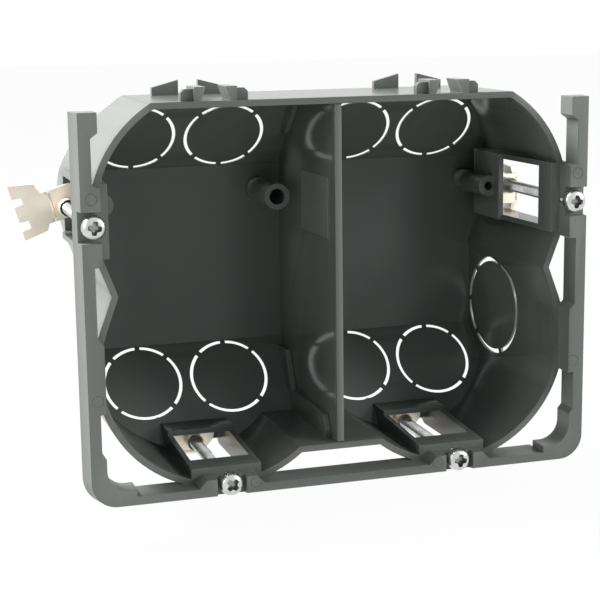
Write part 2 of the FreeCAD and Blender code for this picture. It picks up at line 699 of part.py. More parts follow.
gap = "divider_clearance"
divider_rear = f"(back - {gap})"
divider_top = f"(top_flat - wall - {gap})"
divider_low = f"(floor_flat - wall - {gap})"
sheet_blank = prism("sheet_blank", "YZ", [
    ("divider_front", f"-{divider_low}"),
    ("divider_front", divider_top),
    (slope_depth(1, divider_top, f"-{gap}"), divider_top),
    (divider_rear, slope_height(1, divider_rear, f"-{gap}")),
    (divider_rear, slope_height(-1, divider_rear, f"-{gap}")),
    (slope_depth(-1, divider_low, f"-{gap}"), f"-{divider_low}"),
], "-divider_thick / 2", "divider_thick / 2")
grip = []
for k in range(GRIP_RIBS):
    start = f"grip_front + {k} * grip_long / {GRIP_RIBS}"
    grip.append(block(
        f"grip_{k}", ("-divider_thick / 2 - grip_proud", "0"), (start, f"{start} + grip_rib"),
        ("grip_low", "grip_low + grip_tall"),
    ))
partition = fuse("partition", [sheet_blank] + grip)


# Clamp screws, carriers and claws

def screw(name, clamp):
    """A pan-head screw with a cross recess, drawn about its own axis."""
    shaft = rod(f"{name}_shaft", "screw_radius", ("0", "0"), "0", "screw_tip")
    head = rod(f"{name}_head", "head_radius", ("0", "0"), "-head_front", "-head_front + head_high")
    deep = ("-head_front - 1", "-head_front + recess_deep")
    arms = []
    for k, (across, along) in enumerate((("recess_wide", "recess_arm"), ("recess_arm", "recess_wide"))):
        arms.append(block(
            f"{name}_arm_{k}", (f"-{across} / 2", f"{across} / 2"), deep, (f"-{along} / 2", f"{along} / 2"),
        ))
    whole = cut(name, fuse(f"{name}_blank", [shaft, head]), fuse(f"{name}_recess", arms))
    return place(whole, clamp_step(clamp, "45"))


ear_low = "(shank_low + ear_gap)"
ear_high = "(shank_high + ear_gap)"
hinge_at = "(carrier_at + sheet / 2)"


def carrier(name, clamp):
    """A plate across the screw with its collar, and two ears joined by the claw's hinge pin."""
    outward = "(hinge_out - knuckle_radius - knuckle_gap)"
    plate = block(
        f"{name}_plate", ("-carrier_inward", outward), ("carrier_at", "carrier_at + sheet"),
        (f"-{ear_high} - sheet", f"{ear_low} + sheet"),
    )
    collar = rod(
        f"{name}_collar", "collar_radius", ("0", "0"), "carrier_at - collar_high", "carrier_at + 0.1",
    )
    parts = [plate, collar]
    for k, (low, high) in enumerate((
        (f"-{ear_high} - sheet", f"-{ear_high}"),
        (ear_low, f"{ear_low} + sheet"),
    )):
        parts.append(prism(f"{name}_ear_{k}", "XY", [
            (f"{outward} - 1.5", f"{hinge_at} - ear_reach"),
            ("hinge_out + ear_reach - ear_bevel", f"{hinge_at} - ear_reach"),
            ("hinge_out + ear_reach", f"{hinge_at} - ear_reach + ear_bevel"),
            ("hinge_out + ear_reach", f"{hinge_at} + ear_reach - ear_bevel"),
            ("hinge_out + ear_reach - ear_bevel", f"{hinge_at} + ear_reach"),
            (f"{outward} - 1.5", f"{hinge_at} + ear_reach"),
        ], low, high))
    parts.append(rod(
        f"{name}_pin", "hinge_pin", ("hinge_out", hinge_at), f"-{ear_high} - {OVERLAP}",
        f"{ear_low} + {OVERLAP}", along="Z",
    ))
    bore = rod(f"{name}_bore", "screw_radius + thread_clearance", ("0", "0"), "0", "screw_tip")
    whole = cut(name, fuse(f"{name}_blank", parts), bore)
    return place(whole, clamp_step(clamp, clamp["tilt"]))


def claw(name, clamp):
    """A toothed plate with a rolled knuckle for the hinge pin, drawn about the hinge axis."""
    def out(distance):
        return f"{distance} - hinge_out"

    tip = out("claw_reach")
    floor = out("claw_reach - tooth_deep")
    heights = {
        "low": "-claw_low",
        "low_end": "-claw_low + low_tooth",
        "mid": "-claw_low + low_tooth + low_gap",
        "mid_end": "-claw_low + low_tooth + low_gap + mid_tooth",
        "high": "claw_high - high_tooth",
        "high_end": "claw_high",
    }
    outline = [
        (0, "-shank_low"),
        (out("shoulder_out - 0.9"), "-shank_low"),
        (out("shoulder_out"), "-claw_low + 0.5"),
        (tip, heights["low"]),
        (tip, heights["low_end"]),
        (floor, f"{heights['low_end']} + tooth_slant"),
        (floor, f"{heights['mid']} - tooth_slant"),
        (tip, heights["mid"]),
        (tip, heights["mid_end"]),
        (floor, f"{heights['mid_end']} + tooth_slant"),
        (floor, f"{heights['high']} - tooth_slant"),
        (tip, heights["high"]),
        (tip, heights["high_end"]),
        (out("shoulder_out - 0.2"), "claw_high - 1.5"),
        (out("shoulder_out - 0.4"), "shank_high + 1.3"),
        (out("shoulder_out - 1.1"), "shank_high"),
        (0, "shank_high"),
    ]
    plate = prism(
        f"{name}_plate", "XZ", [(x, f"-({v})") for x, v in outline], "-sheet / 2", "sheet / 2",
    )
    knuckle = rod(f"{name}_knuckle", "knuckle_radius", (0, 0), "-shank_high", "shank_low", along="Z")
    eye = rod(f"{name}_eye", "hinge_pin + hinge_clearance", (0, 0), "-20", "20", along="Z")
    whole = cut(name, fuse(f"{name}_blank", [plate, knuckle]), eye)
    hinge = placement(("hinge_out", hinge_at, "0"), (0, 0, 1), clamp["fold"])
    return place(whole, clamp_step(clamp, clamp["tilt"]), hinge)


pieces = {"back_box": back_box, "partition": partition}
for name, clamp in CLAMPS.items():
    pieces[f"screw_{name}"] = screw(f"screw_{name}", clamp)
    pieces[f"carrier_{name}"] = carrier(f"carrier_{name}", clamp)
    pieces[f"claw_{name}"] = claw(f"claw_{name}", clamp)
document.recompute()

for item in document.Objects:
    if "Invalid" in item.State or "Error" in item.State:
        raise RuntimeError(f"{item.Name} did not compute: {item.State}")
for name, piece in pieces.items():
    piece.Label = name
    if piece.Shape.isNull() or not piece.Shape.isValid():
        raise RuntimeError(f"{name} has no valid shape")

os.makedirs("parts", exist_ok=True)
for name, piece in pieces.items():
    piece.Shape.exportStep(f"parts/{name}.step")
    print(name, len(piece.Shape.Solids), "solid", round(piece.Shape.Volume, 1), "cubic millimetres")
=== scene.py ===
# %% [markdown]
# # A flush back box for a hollow wall
# The real object is one dark grey moulding with two gangs, a push-in partition, four long screws
# and four toothed claws that grip the back of the board. The moulded shapes come from the CAD
# frame. This lesson adds what a picture needs: finishes, cut threads, flat claws, light and a
# camera.

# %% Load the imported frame
import math

import bmesh
import bpy
from mathutils import Matrix, Vector


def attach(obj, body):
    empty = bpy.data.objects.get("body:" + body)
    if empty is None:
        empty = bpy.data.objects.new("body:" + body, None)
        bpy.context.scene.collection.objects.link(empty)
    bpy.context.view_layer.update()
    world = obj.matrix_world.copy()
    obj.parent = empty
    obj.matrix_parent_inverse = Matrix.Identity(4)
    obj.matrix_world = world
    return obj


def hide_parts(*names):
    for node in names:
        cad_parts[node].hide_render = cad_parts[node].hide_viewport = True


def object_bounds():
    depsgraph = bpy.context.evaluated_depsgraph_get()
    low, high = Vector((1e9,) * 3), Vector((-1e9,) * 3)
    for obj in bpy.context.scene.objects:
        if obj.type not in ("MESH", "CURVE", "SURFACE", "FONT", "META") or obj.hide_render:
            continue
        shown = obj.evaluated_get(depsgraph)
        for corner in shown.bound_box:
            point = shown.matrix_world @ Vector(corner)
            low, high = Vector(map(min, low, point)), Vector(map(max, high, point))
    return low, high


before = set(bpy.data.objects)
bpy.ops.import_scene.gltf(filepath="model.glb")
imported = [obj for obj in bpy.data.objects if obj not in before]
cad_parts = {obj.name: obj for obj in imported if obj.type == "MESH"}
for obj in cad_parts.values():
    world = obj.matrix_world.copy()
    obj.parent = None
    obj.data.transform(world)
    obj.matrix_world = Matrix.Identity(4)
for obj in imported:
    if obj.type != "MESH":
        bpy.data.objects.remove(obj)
cad_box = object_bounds()
MM = 0.001


def add_object(name, data):
    """A new object with this data, linked to the scene."""
    made = bpy.data.objects.new(name, data)
    bpy.context.scene.collection.objects.link(made)
    return made


print("nodes:", len(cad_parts), "CAD box:", [list(corner) for corner in cad_box])

# %% [markdown]
# ## The camera
# The camera's place was found by matching corners of the real box to the photograph. A lens of
# 92 mm is long, so the near and far edges of the box are almost parallel. The three directions
# below are the camera's right, up and forward. A camera looks along its own minus Z, so the
# columns of its rotation are right, up and the opposite of forward.

# %% Place the camera
RIGHT = Vector((0.9545, -0.2980, -0.0133))
UP = Vector((0.0691, 0.1774, 0.9817))
FORWARD = Vector((0.2901, 0.9379, -0.1899))
CAMERA_PLACE = Vector((-114.83, -333.39, 64.84)) * MM
camera_data = bpy.data.cameras.new("box_camera")
camera_data.sensor_width = 36
camera_data.lens = 91.6
camera_data.clip_start = 0.01
camera_data.dof.use_dof = False
camera = add_object("box_camera", camera_data)
turn = Matrix((RIGHT, UP, -FORWARD)).transposed().to_4x4()
camera.matrix_world = Matrix.Translation(CAMERA_PLACE) @ turn
bpy.context.scene.camera = camera
bpy.context.scene.view_settings.view_transform = "Standard"
print("camera at", [round(v, 4) for v in camera.location])

# %% [markdown]
# ## Small helpers for nodes
# Every material here is a graph of nodes. One helper adds a node and sets its values, and one
# joins an output to an input. The others stand for a few nodes that are needed again and again,
# so that each material below reads as a short list of steps.

# %% Node helpers
# A Mix node has one set of sockets for each type of data. These are the ones for colours.
COLOUR_A, COLOUR_B, COLOUR_RESULT = 6, 7, 2


def add_node(tree, kind, **settings):
    """A node of this kind. Names of inputs, with _ for a space, set their values."""
    node = tree.nodes.new(kind)
    for name, value in settings.items():
        if name.startswith("in_"):
            node.inputs[name[3:].replace("_", " ")].default_value = value
        else:
            setattr(node, name, value)
    return node


def join(tree, source, target):
    """A link from an output to an input, or a plain value in that input."""
    if isinstance(source, bpy.types.NodeSocket):
        tree.links.new(source, target)
    else:
        target.default_value = source


def ramp(tree, source, low, high, low_value=0.0, high_value=1.0):
    """The source's value, moved from one range to another and clamped."""
    node = add_node(
        tree, "ShaderNodeMapRange",
        in_From_Min=low, in_From_Max=high, in_To_Min=low_value, in_To_Max=high_value,
    )
    join(tree, source, node.inputs["Value"])
    return node.outputs["Result"]


def spread(tree, mask, low_value, high_value):
    """A value that goes from one number to another with a mask of 0 to 1."""
    return ramp(tree, mask, 0, 1, low_value, high_value)


def tint(tree, mask, plain, other):
    """A colour that goes from plain to other with the mask. Plain may be an output."""
    node = add_node(tree, "ShaderNodeMix", data_type="RGBA")
    join(tree, mask, node.inputs["Factor"])
    plain_colour = plain if isinstance(plain, bpy.types.NodeSocket) else (*plain, 1)
    join(tree, plain_colour, node.inputs[COLOUR_A])
    join(tree, (*other, 1), node.inputs[COLOUR_B])
    return node.outputs[COLOUR_RESULT]


def combine(tree, operation, first, second):
    """Two values worked into one. Either may be a plain number."""
    node = add_node(tree, "ShaderNodeMath", operation=operation)
    join(tree, first, node.inputs[0])
    join(tree, second, node.inputs[1])
    return node.outputs[0]


def object_axes(tree):
    """The outputs X, Y and Z of the object's own coordinates, in metres."""
    where = add_node(tree, "ShaderNodeTexCoord")
    axes = add_node(tree, "ShaderNodeSeparateXYZ")
    join(tree, where.outputs["Object"], axes.inputs["Vector"])
    return axes.outputs


def start_material(name, **values):
    """A material with one Principled BSDF that has these plain values."""
    made = bpy.data.materials.new(name)
    made.use_nodes = True
    tree = made.node_tree
    tree.nodes.clear()
    shader = add_node(tree, "ShaderNodeBsdfPrincipled")
    for socket, value in values.items():
        shader.inputs[socket.replace("_", " ")].default_value = value
    output = add_node(tree, "ShaderNodeOutputMaterial")
    join(tree, shader.outputs["BSDF"], output.inputs["Surface"])
    return made, tree, shader


def give_finish(mesh, finish):
    """This finish as the mesh's only material."""
    mesh.materials.clear()
    mesh.materials.append(finish)


print("helpers ready")

# %% [markdown]
# ## Fine surface grain, shared by all the finishes
# A spark-eroded mould leaves a fine matt grain in the plastic, and zinc plating leaves a fine
# frost on steel. The grain and the larger clouds are noise at two scales, and the specks are small
# dots round the points of a Voronoi pattern. As a node group with its own inputs it is built
# once, and each finish sets the three scales.

# %% Grain group
GRAIN_SCALES = {"Grain Scale": 2600.0, "Cloud Scale": 55.0, "Speck Scale": 420.0}
CLOUD_RANGE = (0.35, 0.68)
SPECK_RANGE = (0.13, 0.05)


def grain_group():
    """Grain (a height), clouds and specks (masks) from the object's own coordinates."""
    group = bpy.data.node_groups.new("surface_grain", "ShaderNodeTree")
    for name, value in GRAIN_SCALES.items():
        socket = group.interface.new_socket(name, in_out="INPUT", socket_type="NodeSocketFloat")
        socket.default_value = value
    for name in ("Grain", "Clouds", "Specks"):
        group.interface.new_socket(name, in_out="OUTPUT", socket_type="NodeSocketFloat")
    entry = add_node(group, "NodeGroupInput")
    leave = add_node(group, "NodeGroupOutput")
    where = add_node(group, "ShaderNodeTexCoord")
    grain = add_node(group, "ShaderNodeTexNoise", in_Detail=2.0, in_Roughness=0.6)
    clouds = add_node(group, "ShaderNodeTexNoise", in_Detail=4.0, in_Roughness=0.55)
    specks = add_node(group, "ShaderNodeTexVoronoi", feature="F1")
    for node, scale in zip((grain, clouds, specks), GRAIN_SCALES):
        join(group, where.outputs["Object"], node.inputs["Vector"])
        join(group, entry.outputs[scale], node.inputs["Scale"])
    join(group, grain.outputs[0], leave.inputs["Grain"])
    join(group, ramp(group, clouds.outputs[0], *CLOUD_RANGE), leave.inputs["Clouds"])
    join(group, ramp(group, specks.outputs["Distance"], *SPECK_RANGE), leave.inputs["Specks"])
    return group


SURFACE_GRAIN = grain_group()


def place_grain(tree, *scales):
    """The outputs of the grain group with this finish's own scales."""
    node = add_node(tree, "ShaderNodeGroup", node_tree=SURFACE_GRAIN)
    for name, value in zip(GRAIN_SCALES, scales):
        node.inputs[name].default_value = value
    return node.outputs


def grained_normal(tree, shader, grain, radius, strength, distance):
    """The shader's normal: edges rounded by a radius, and the fine grain on top of them."""
    edge = add_node(tree, "ShaderNodeBevel", samples=6, in_Radius=radius)
    bump = add_node(tree, "ShaderNodeBump", in_Strength=strength, in_Distance=distance)
    join(tree, grain["Grain"], bump.inputs["Height"])
    join(tree, edge.outputs["Normal"], bump.inputs["Normal"])
    join(tree, bump.outputs["Normal"], shader.inputs["Normal"])


sockets = SURFACE_GRAIN.interface.items_tree
print("group outputs:", [socket.name for socket in sockets if socket.in_out == "OUTPUT"])

# %% [markdown]
# ## Moulded grey plastic
# The box and the partition are thermoplastic, a neutral grey with a green cast that is paler on
# edges and high spots. The frame is satin. Behind the rim the surface gets smoother, and the
# partition is the glossiest. A Bevel node rounds the normals at every edge by 0.3 mm, as a real
# mould does, with no change to the CAD mesh.

# %% Moulded plastic
RUBBED_RANGE = (0.52, 0.62)
RIM_DEPTH = (5.5 * MM, 8.5 * MM)
RIM_ROUGHNESS = 0.38


def moulded_plastic(name, inner):
    """Satin grey plastic with fine grain. Behind the rim its roughness goes down to inner."""
    made, tree, shader = start_material(name, Metallic=0.0, IOR=1.5, Specular_IOR_Level=0.3)
    grain = place_grain(tree, 2400.0, 38.0, 260.0)
    geometry = add_node(tree, "ShaderNodeNewGeometry")
    rubbed = ramp(tree, geometry.outputs["Pointiness"], *RUBBED_RANGE, 0, 0.35)
    body = tint(tree, grain["Clouds"], (0.075, 0.087, 0.079), (0.081, 0.093, 0.084))
    speckled = tint(tree, spread(tree, grain["Specks"], 0, 0.1), body, (0.16, 0.168, 0.16))
    join(tree, tint(tree, rubbed, speckled, (0.22, 0.23, 0.22)), shader.inputs["Base Color"])
    by_depth = ramp(tree, object_axes(tree)["Y"], *RIM_DEPTH, RIM_ROUGHNESS, inner)
    cloudy = spread(tree, grain["Clouds"], 0.0, 0.03)
    join(tree, combine(tree, "ADD", by_depth, cloudy), shader.inputs["Roughness"])
    grained_normal(tree, shader, grain, 0.3 * MM, 0.16, 0.06 * MM)
    return made


PLASTIC = moulded_plastic("moulded_plastic", 0.2)
give_finish(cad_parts["back_box"].data, PLASTIC)
give_finish(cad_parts["partition"].data, moulded_plastic("glossy_plastic", 0.07))
print("plastic on back_box and partition")

# %% [markdown]
# ## Stamped steel claws and carriers
# The claws are thin steel, blanked in a press and zinc plated with a warm, yellowish passivation.
# The finish is a satin metal: bright, but with blurred reflections and slight cloudy stains.

# %% Plated steel for the claws
def claw_steel():
    """Warm satin zinc plate with frost and stains."""
    made, tree, shader = start_material("claw_steel", IOR=1.5)
    grain = place_grain(tree, 3200.0, 130.0, 700.0)
    plate = tint(tree, grain["Clouds"], (0.80, 0.73, 0.62), (0.90, 0.84, 0.74))
    speckled = tint(tree, spread(tree, grain["Specks"], 0, 0.2), plate, (0.6, 0.54, 0.45))
    join(tree, speckled, shader.inputs["Base Color"])
    join(tree, spread(tree, grain["Clouds"], 0.85, 0.95), shader.inputs["Metallic"])
    join(tree, spread(tree, grain["Clouds"], 0.46, 0.34), shader.inputs["Roughness"])
    grained_normal(tree, shader, grain, 0.15 * MM, 0.2, 0.05 * MM)
    return made


CLAW_STEEL = claw_steel()
plated = [node for name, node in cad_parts.items() if name.startswith(("claw_", "carrier_"))]
for node in plated:
    give_finish(node.data, CLAW_STEEL)
print("plated steel on", len(plated), "nodes")

# %% [markdown]
# ## Bright steel for the screws
# The screws carry a clear bright zinc, cooler and smoother than the claws. Turned heads show very
# fine rings round their axis, which stretch the highlights. A wave texture in rings, at a low
# bump strength, gives that mark without any extra mesh. The walls of the cross recess are darker,
# because less light gets into them.

# %% Bright zinc
RECESS_REACH = (2.05 * MM, 1.9 * MM)
RECESS_FACE = (-0.52 * MM, -0.1 * MM)
RECESS_FLOOR = (1.3 * MM, 1.1 * MM)


def recess_mask(tree):
    """A mask that is 1 in the cross recess, from the distance to the axis and the depth."""
    axes = object_axes(tree)
    flat = add_node(tree, "ShaderNodeCombineXYZ")
    join(tree, axes["X"], flat.inputs["X"])
    join(tree, axes["Z"], flat.inputs["Z"])
    reach = add_node(tree, "ShaderNodeVectorMath", operation="LENGTH")
    join(tree, flat.outputs[0], reach.inputs[0])
    mask = ramp(tree, reach.outputs["Value"], *RECESS_REACH)
    for span in (RECESS_FACE, RECESS_FLOOR):
        mask = combine(tree, "MULTIPLY", mask, ramp(tree, axes["Y"], *span))
    return mask


def screw_steel():
    """Bright zinc with fine turned rings and slight stains."""
    made, tree, shader = start_material("screw_steel", IOR=1.5)
    grain = place_grain(tree, 3800.0, 240.0, 900.0)
    bright = tint(tree, grain["Clouds"], (0.50, 0.52, 0.51), (0.68, 0.70, 0.68))
    shaded = tint(tree, recess_mask(tree), bright, (0.30, 0.30, 0.29))
    join(tree, shaded, shader.inputs["Base Color"])
    join(tree, spread(tree, grain["Clouds"], 0.93, 1.0), shader.inputs["Metallic"])
    join(tree, spread(tree, grain["Clouds"], 0.30, 0.19), shader.inputs["Roughness"])
    where = add_node(tree, "ShaderNodeTexCoord")
    rings = add_node(
        tree, "ShaderNodeTexWave", wave_type="RINGS", rings_direction="Y",
        in_Scale=1300.0, in_Distortion=1.2,
    )
    join(tree, where.outputs["Object"], rings.inputs["Vector"])
    turned = add_node(tree, "ShaderNodeBump", in_Strength=0.08, in_Distance=0.03 * MM)
    join(tree, rings.outputs[1], turned.inputs["Height"])
    frost = add_node(tree, "ShaderNodeBump", in_Strength=0.08, in_Distance=0.04 * MM)
    join(tree, grain["Grain"], frost.inputs["Height"])
    join(tree, turned.outputs["Normal"], frost.inputs["Normal"])
    join(tree, frost.outputs["Normal"], shader.inputs["Normal"])
    return made


SCREW_STEEL = screw_steel()
print("bright zinc ready")

# %% [markdown]
# ## The screw's head
# A pan head is a turned shape: a flat-topped dome with a rounded rim. It is spun from a profile of
# radius and depth. The cross recess narrows towards its bottom, so its cutter is a cross-shaped
# block whose lower end is smaller. A Boolean modifier takes it out, and the result is kept.

# %% Head and recess
HEAD_PROFILE = [
    (0.0, -0.65), (1.25, -0.64), (1.75, -0.56), (2.15, -0.38), (2.45, -0.10), (2.66, 0.28),
    (2.79, 0.70), (2.85, 1.10), (2.85, 1.45), (2.80, 1.62), (2.66, 1.75), (1.30, 1.75),
]
AROUND = 48
# Half the cross from tip to tip, half an arm's width, and how far out the inner corners lie.
ARM_REACH, ARM_HALF, ARM_CORNER = 1.62, 0.47, 0.72
# The cutter's layers, as (depth, size).
CUTTER_LAYERS = ((-1.6, 1.12), (-0.65, 1.0), (1.0, 0.62))


def skin(form, near, far):
    """Faces between two closed rows of corners. A row may be a single point."""
    for k in range(max(len(near), len(far))):
        corners = [
            near[k % len(near)], near[(k + 1) % len(near)],
            far[(k + 1) % len(far)], far[k % len(far)],
        ]
        form.faces.new(list(dict.fromkeys(corners)))


def on_circle(form, radius, depth, angle):
    """A corner at a radius and an angle round Y, and a depth along it, in millimetres."""
    across, up = radius * math.cos(angle), radius * math.sin(angle)
    return form.verts.new((across * MM, depth * MM, up * MM))


def spin(points, closed=False):
    """A mesh spun round Y from points of (radius, depth) in millimetres."""
    form = bmesh.new()
    rings = []
    for radius, depth in points:
        steps = AROUND if radius else 1
        rings.append([on_circle(form, radius, depth, math.tau * k / steps) for k in range(steps)])
    closing = rings[:1] if closed else []
    for near, far in zip(rings, rings[1:] + closing):
        skin(form, near, far)
    if not closed:
        form.faces.new(rings[-1])
    bmesh.ops.recalc_face_normals(form, faces=form.faces)
    return form


def to_mesh(form, name):
    """The bmesh as a mesh that Blender can show."""
    mesh = bpy.data.meshes.new(name)
    form.to_mesh(mesh)
    form.free()
    return mesh


def cross_cutter():
    """A cross-shaped block that narrows from the head's face to the recess's bottom."""
    outline = []
    for quarter in range(4):
        turn = Matrix.Rotation(math.radians(90 * quarter), 3, "Y")
        for x, z in ((ARM_REACH, -ARM_HALF), (ARM_REACH, ARM_HALF), (ARM_CORNER, ARM_CORNER)):
            outline.append(turn @ Vector((x, 0, -z)))
    form = bmesh.new()
    layers = []
    for depth, size in CUTTER_LAYERS:
        corners = [(p.x * size * MM, depth * MM, p.z * size * MM) for p in outline]
        layers.append([form.verts.new(corner) for corner in corners])
    for near, far in zip(layers, layers[1:]):
        skin(form, near, far)
    form.faces.new(layers[0])
    form.faces.new(layers[-1])
    bmesh.ops.recalc_face_normals(form, faces=form.faces)
    return form


blank = add_object("head_blank", to_mesh(spin(HEAD_PROFILE), "head_blank"))
cutter = add_object("head_cutter", to_mesh(cross_cutter(), "head_cutter"))
hollow = blank.modifiers.new("recess", "BOOLEAN")
hollow.operation = "DIFFERENCE"
hollow.solver = "EXACT"
hollow.object = cutter
bpy.context.view_layer.update()
graph = bpy.context.evaluated_depsgraph_get()
HEAD_MESH = bpy.data.meshes.new_from_object(blank.evaluated_get(graph), depsgraph=graph)
for tool in (blank, cutter):
    bpy.data.objects.remove(tool)
print("head faces:", len(HEAD_MESH.polygons))

# %% [markdown]
# ## The screw's thread
# A thread is one ridge that winds along the shank. The mesh follows it: each turn has four rows,
# two at the root and two at the crest, with the flanks between them. Every column round the shank
# moves the rows a little further along, so the last column of a row meets the first column of the
# next turn.

# %% Thread
PITCH = 0.5
CREST = 1.5
ROOT = 1.30
SHANK = (1.6, 43.2)
# The four rows of a turn, as (radius, share of the pitch).
ROWS = ((ROOT, 0.0), (ROOT, 0.18), (CREST, 0.5), (CREST, 0.68))
TIP_RADIUS = 1.05
TIP_LENGTH = 1.2
COLUMNS = 20
# Corners nearer than this, in metres, are one corner.
MERGE = 1e-7


def threaded_shank():
    """A wound thread from the head to the tip, where a flat cap closes it."""
    form = bmesh.new()
    low, high = SHANK
    turns = int((high - low) / PITCH) + 2
    grid = []
    for turn_number in range(turns):
        for height, share in ROWS:
            row = []
            for k in range(COLUMNS + 1):
                along = low - PITCH + (turn_number + share + k / COLUMNS) * PITCH
                taper = min(1.0, max(0.0, (high - along) / TIP_LENGTH))
                radius = min(height, TIP_RADIUS + (CREST - TIP_RADIUS) * taper)
                depth = min(max(along, low), high)
                row.append(on_circle(form, radius, depth, math.tau * k / COLUMNS))
            grid.append(row)
    for near, far in zip(grid, grid[1:]):
        for k in range(COLUMNS):
            form.faces.new((near[k], near[k + 1], far[k + 1], far[k]))
    bmesh.ops.remove_doubles(form, verts=form.verts, dist=MERGE)
    bmesh.ops.dissolve_degenerate(form, edges=form.edges, dist=MERGE)
    rim = [v for v in form.verts if abs(v.co.y - high * MM) < MERGE]
    rim.sort(key=lambda v: math.atan2(v.co.z, v.co.x))
    tip = form.verts.new((0, high * MM, 0))
    for near, far in zip(rim, rim[1:] + rim[:1]):
        form.faces.new((near, far, tip))
    bmesh.ops.recalc_face_normals(form, faces=form.faces)
    return form


SHANK_MESH = to_mesh(threaded_shank(), "threaded_shank")
print("shank faces:", len(SHANK_MESH.polygons))

# %% [markdown]
# ## Four screws on their bodies
# Each screw is the head and the shank in one mesh, drawn about its own axis, and copied to the
# four screw places. It rides on the body of the CAD screw and stands for it. The places are
# millimetres across and up, and an angle in degrees for how the photograph shows the cross.

# %% Place the screws
SCREWS = {
    "left": (-59.1, 16.8, 8),
    "right": (59.1, 16.8, 5),
    "bottom_left": (-28.9, -45.65, 45),
    "bottom_right": (28.9, -45.65, 4),
}


def wall_place(across, up):
    """A place on the wall's plane, from millimetres across and up."""
    return Vector((across, 0, up)) * MM


joined = bmesh.new()
joined.from_mesh(HEAD_MESH)
joined.from_mesh(SHANK_MESH)
SCREW_MESH = to_mesh(joined, "clamp_screw")
give_finish(SCREW_MESH, SCREW_STEEL)
for place, (across, up, angle) in SCREWS.items():
    screw = add_object(f"threaded_screw_{place}", SCREW_MESH)
    turn = Matrix.Rotation(math.radians(angle), 4, "Y")
    screw.matrix_world = Matrix.Translation(wall_place(across, up)) @ turn
    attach(screw, f"screw_{place}")
    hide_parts(f"screw_{place}")
    give_finish(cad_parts[f"screw_{place}"].data, SCREW_STEEL)
print("screws:", len(SCREWS))

# %% [markdown]
# ## Flat claws with a flush hinge
# In the photograph the left claw and its carrier look like one flat plate with a round collar, and
# no raised hinge. The pieces below stand for the CAD claws and carriers. Their hinge is drawn in
# the thickness of the sheet: the claw's inner edge is rounded about the axis and lies between two
# narrow tabs of the carrier, so it still folds about the same axis on the same bodies.

# %% Claws and carriers
# The sheet's two faces as depths, and the hinge's axis as (outward, depth).
SHEET = (40.5, 41.5)
HINGE = (3.4, 41.0)
PIVOT = 0.5
CLAW_BARREL = (-4.4, 1.85)
CARRIER_BARRELS = ((-5.25, -4.45), (1.9, 2.7))
TEETH = [
    (0.0, -4.4), (0.55, -4.4), (0.55, -5.25), (1.6, -5.25), (2.3, -6.55), (2.5, -7.8),
    (8.7, -9.3), (8.7, -5.8), (6.4, -5.6), (6.4, -4.0), (8.7, -3.8), (8.7, 0.1), (6.4, 0.3),
    (6.4, 2.2), (8.7, 2.4), (8.7, 4.7), (2.7, 4.2), (1.8, 2.7), (0.55, 2.7), (0.55, 1.85),
    (0.0, 1.85),
]
CARRIER_EDGE = [
    (2.85, -4.45), (3.4, -4.45), (3.4, -5.25), (-2.6, -5.25), (-3.0, -4.85), (-3.0, 2.3),
    (-2.6, 2.7), (3.4, 2.7), (3.4, 1.9), (2.85, 1.9),
]
LOW_CARRIER_EDGE = CARRIER_EDGE[:5] + [
    (-3.0, 5.4), (-2.6, 5.8), (-0.6, 5.7), (0.6, 5.2), (2.4, 3.5), (2.6, 2.7),
] + CARRIER_EDGE[7:]
COLLAR = [(1.55, 40.6), (1.55, 39.4), (1.95, 37.2), (2.1, 37.0), (2.2, 37.2), (2.2, 40.6)]
# Each clamp's heading round its screw and the fold of its claw at rest, in degrees.
CLAMPS = {"left": (164, 0), "right": (0, 90), "bottom_left": (90, 90), "bottom_right": (90, 90)}


def sheet_form(outline, near, far):
    """A flat plate from an outline of (outward, along the wall) between two depths."""
    form = bmesh.new()
    sides = [[form.verts.new((x * MM, y * MM, z * MM)) for x, z in outline] for y in (near, far)]
    skin(form, *sides)
    for side in sides:
        form.faces.new(side)
    bmesh.ops.recalc_face_normals(form, faces=form.faces)
    return form


def add_barrel(form, centre, low, high):
    """A round edge of the sheet's thickness along the hinge axis, added to the form."""
    middle = Vector((*centre, (low + high) / 2)) * MM
    bmesh.ops.create_cone(
        form, cap_ends=True, segments=24, radius1=PIVOT * MM, radius2=PIVOT * MM,
        depth=(high - low) * MM, matrix=Matrix.Translation(middle),
    )


claw_form = sheet_form(TEETH, -PIVOT, PIVOT)
add_barrel(claw_form, (0.0, 0.0), *CLAW_BARREL)
CLAW_MESH = to_mesh(claw_form, "flat_claw")
COLLAR_MESH = to_mesh(spin(COLLAR, closed=True), "collar")
CARRIER_MESHES = {}
for kind, outline in (("side", CARRIER_EDGE), ("bottom", LOW_CARRIER_EDGE)):
    carrier_form = sheet_form(outline, *SHEET)
    for span in CARRIER_BARRELS:
        add_barrel(carrier_form, HINGE, *span)
    carrier_form.from_mesh(COLLAR_MESH)
    CARRIER_MESHES[kind] = to_mesh(carrier_form, f"flat_carrier_{kind}")
for mesh in (CLAW_MESH, *CARRIER_MESHES.values()):
    give_finish(mesh, CLAW_STEEL)
for place, (heading, fold) in CLAMPS.items():
    across, up, _ = SCREWS[place]
    there = Matrix.Translation(wall_place(across, up))
    there = there @ Matrix.Rotation(math.radians(heading), 4, "Y")
    folded = there @ Matrix.Translation(Vector((*HINGE, 0.0)) * MM)
    folded = folded @ Matrix.Rotation(math.radians(fold), 4, "Z")
    carrier_mesh = CARRIER_MESHES["bottom" if place.startswith("bottom") else "side"]
    for kind, mesh, matrix in (("carrier", carrier_mesh, there), ("claw", CLAW_MESH, folded)):
        piece = add_object(f"flat_{kind}_{place}", mesh)
        piece.matrix_world = matrix
        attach(piece, f"{kind}_{place}")
        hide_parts(f"{kind}_{place}")
print("flat claws and carriers:", 2 * len(CLAMPS))

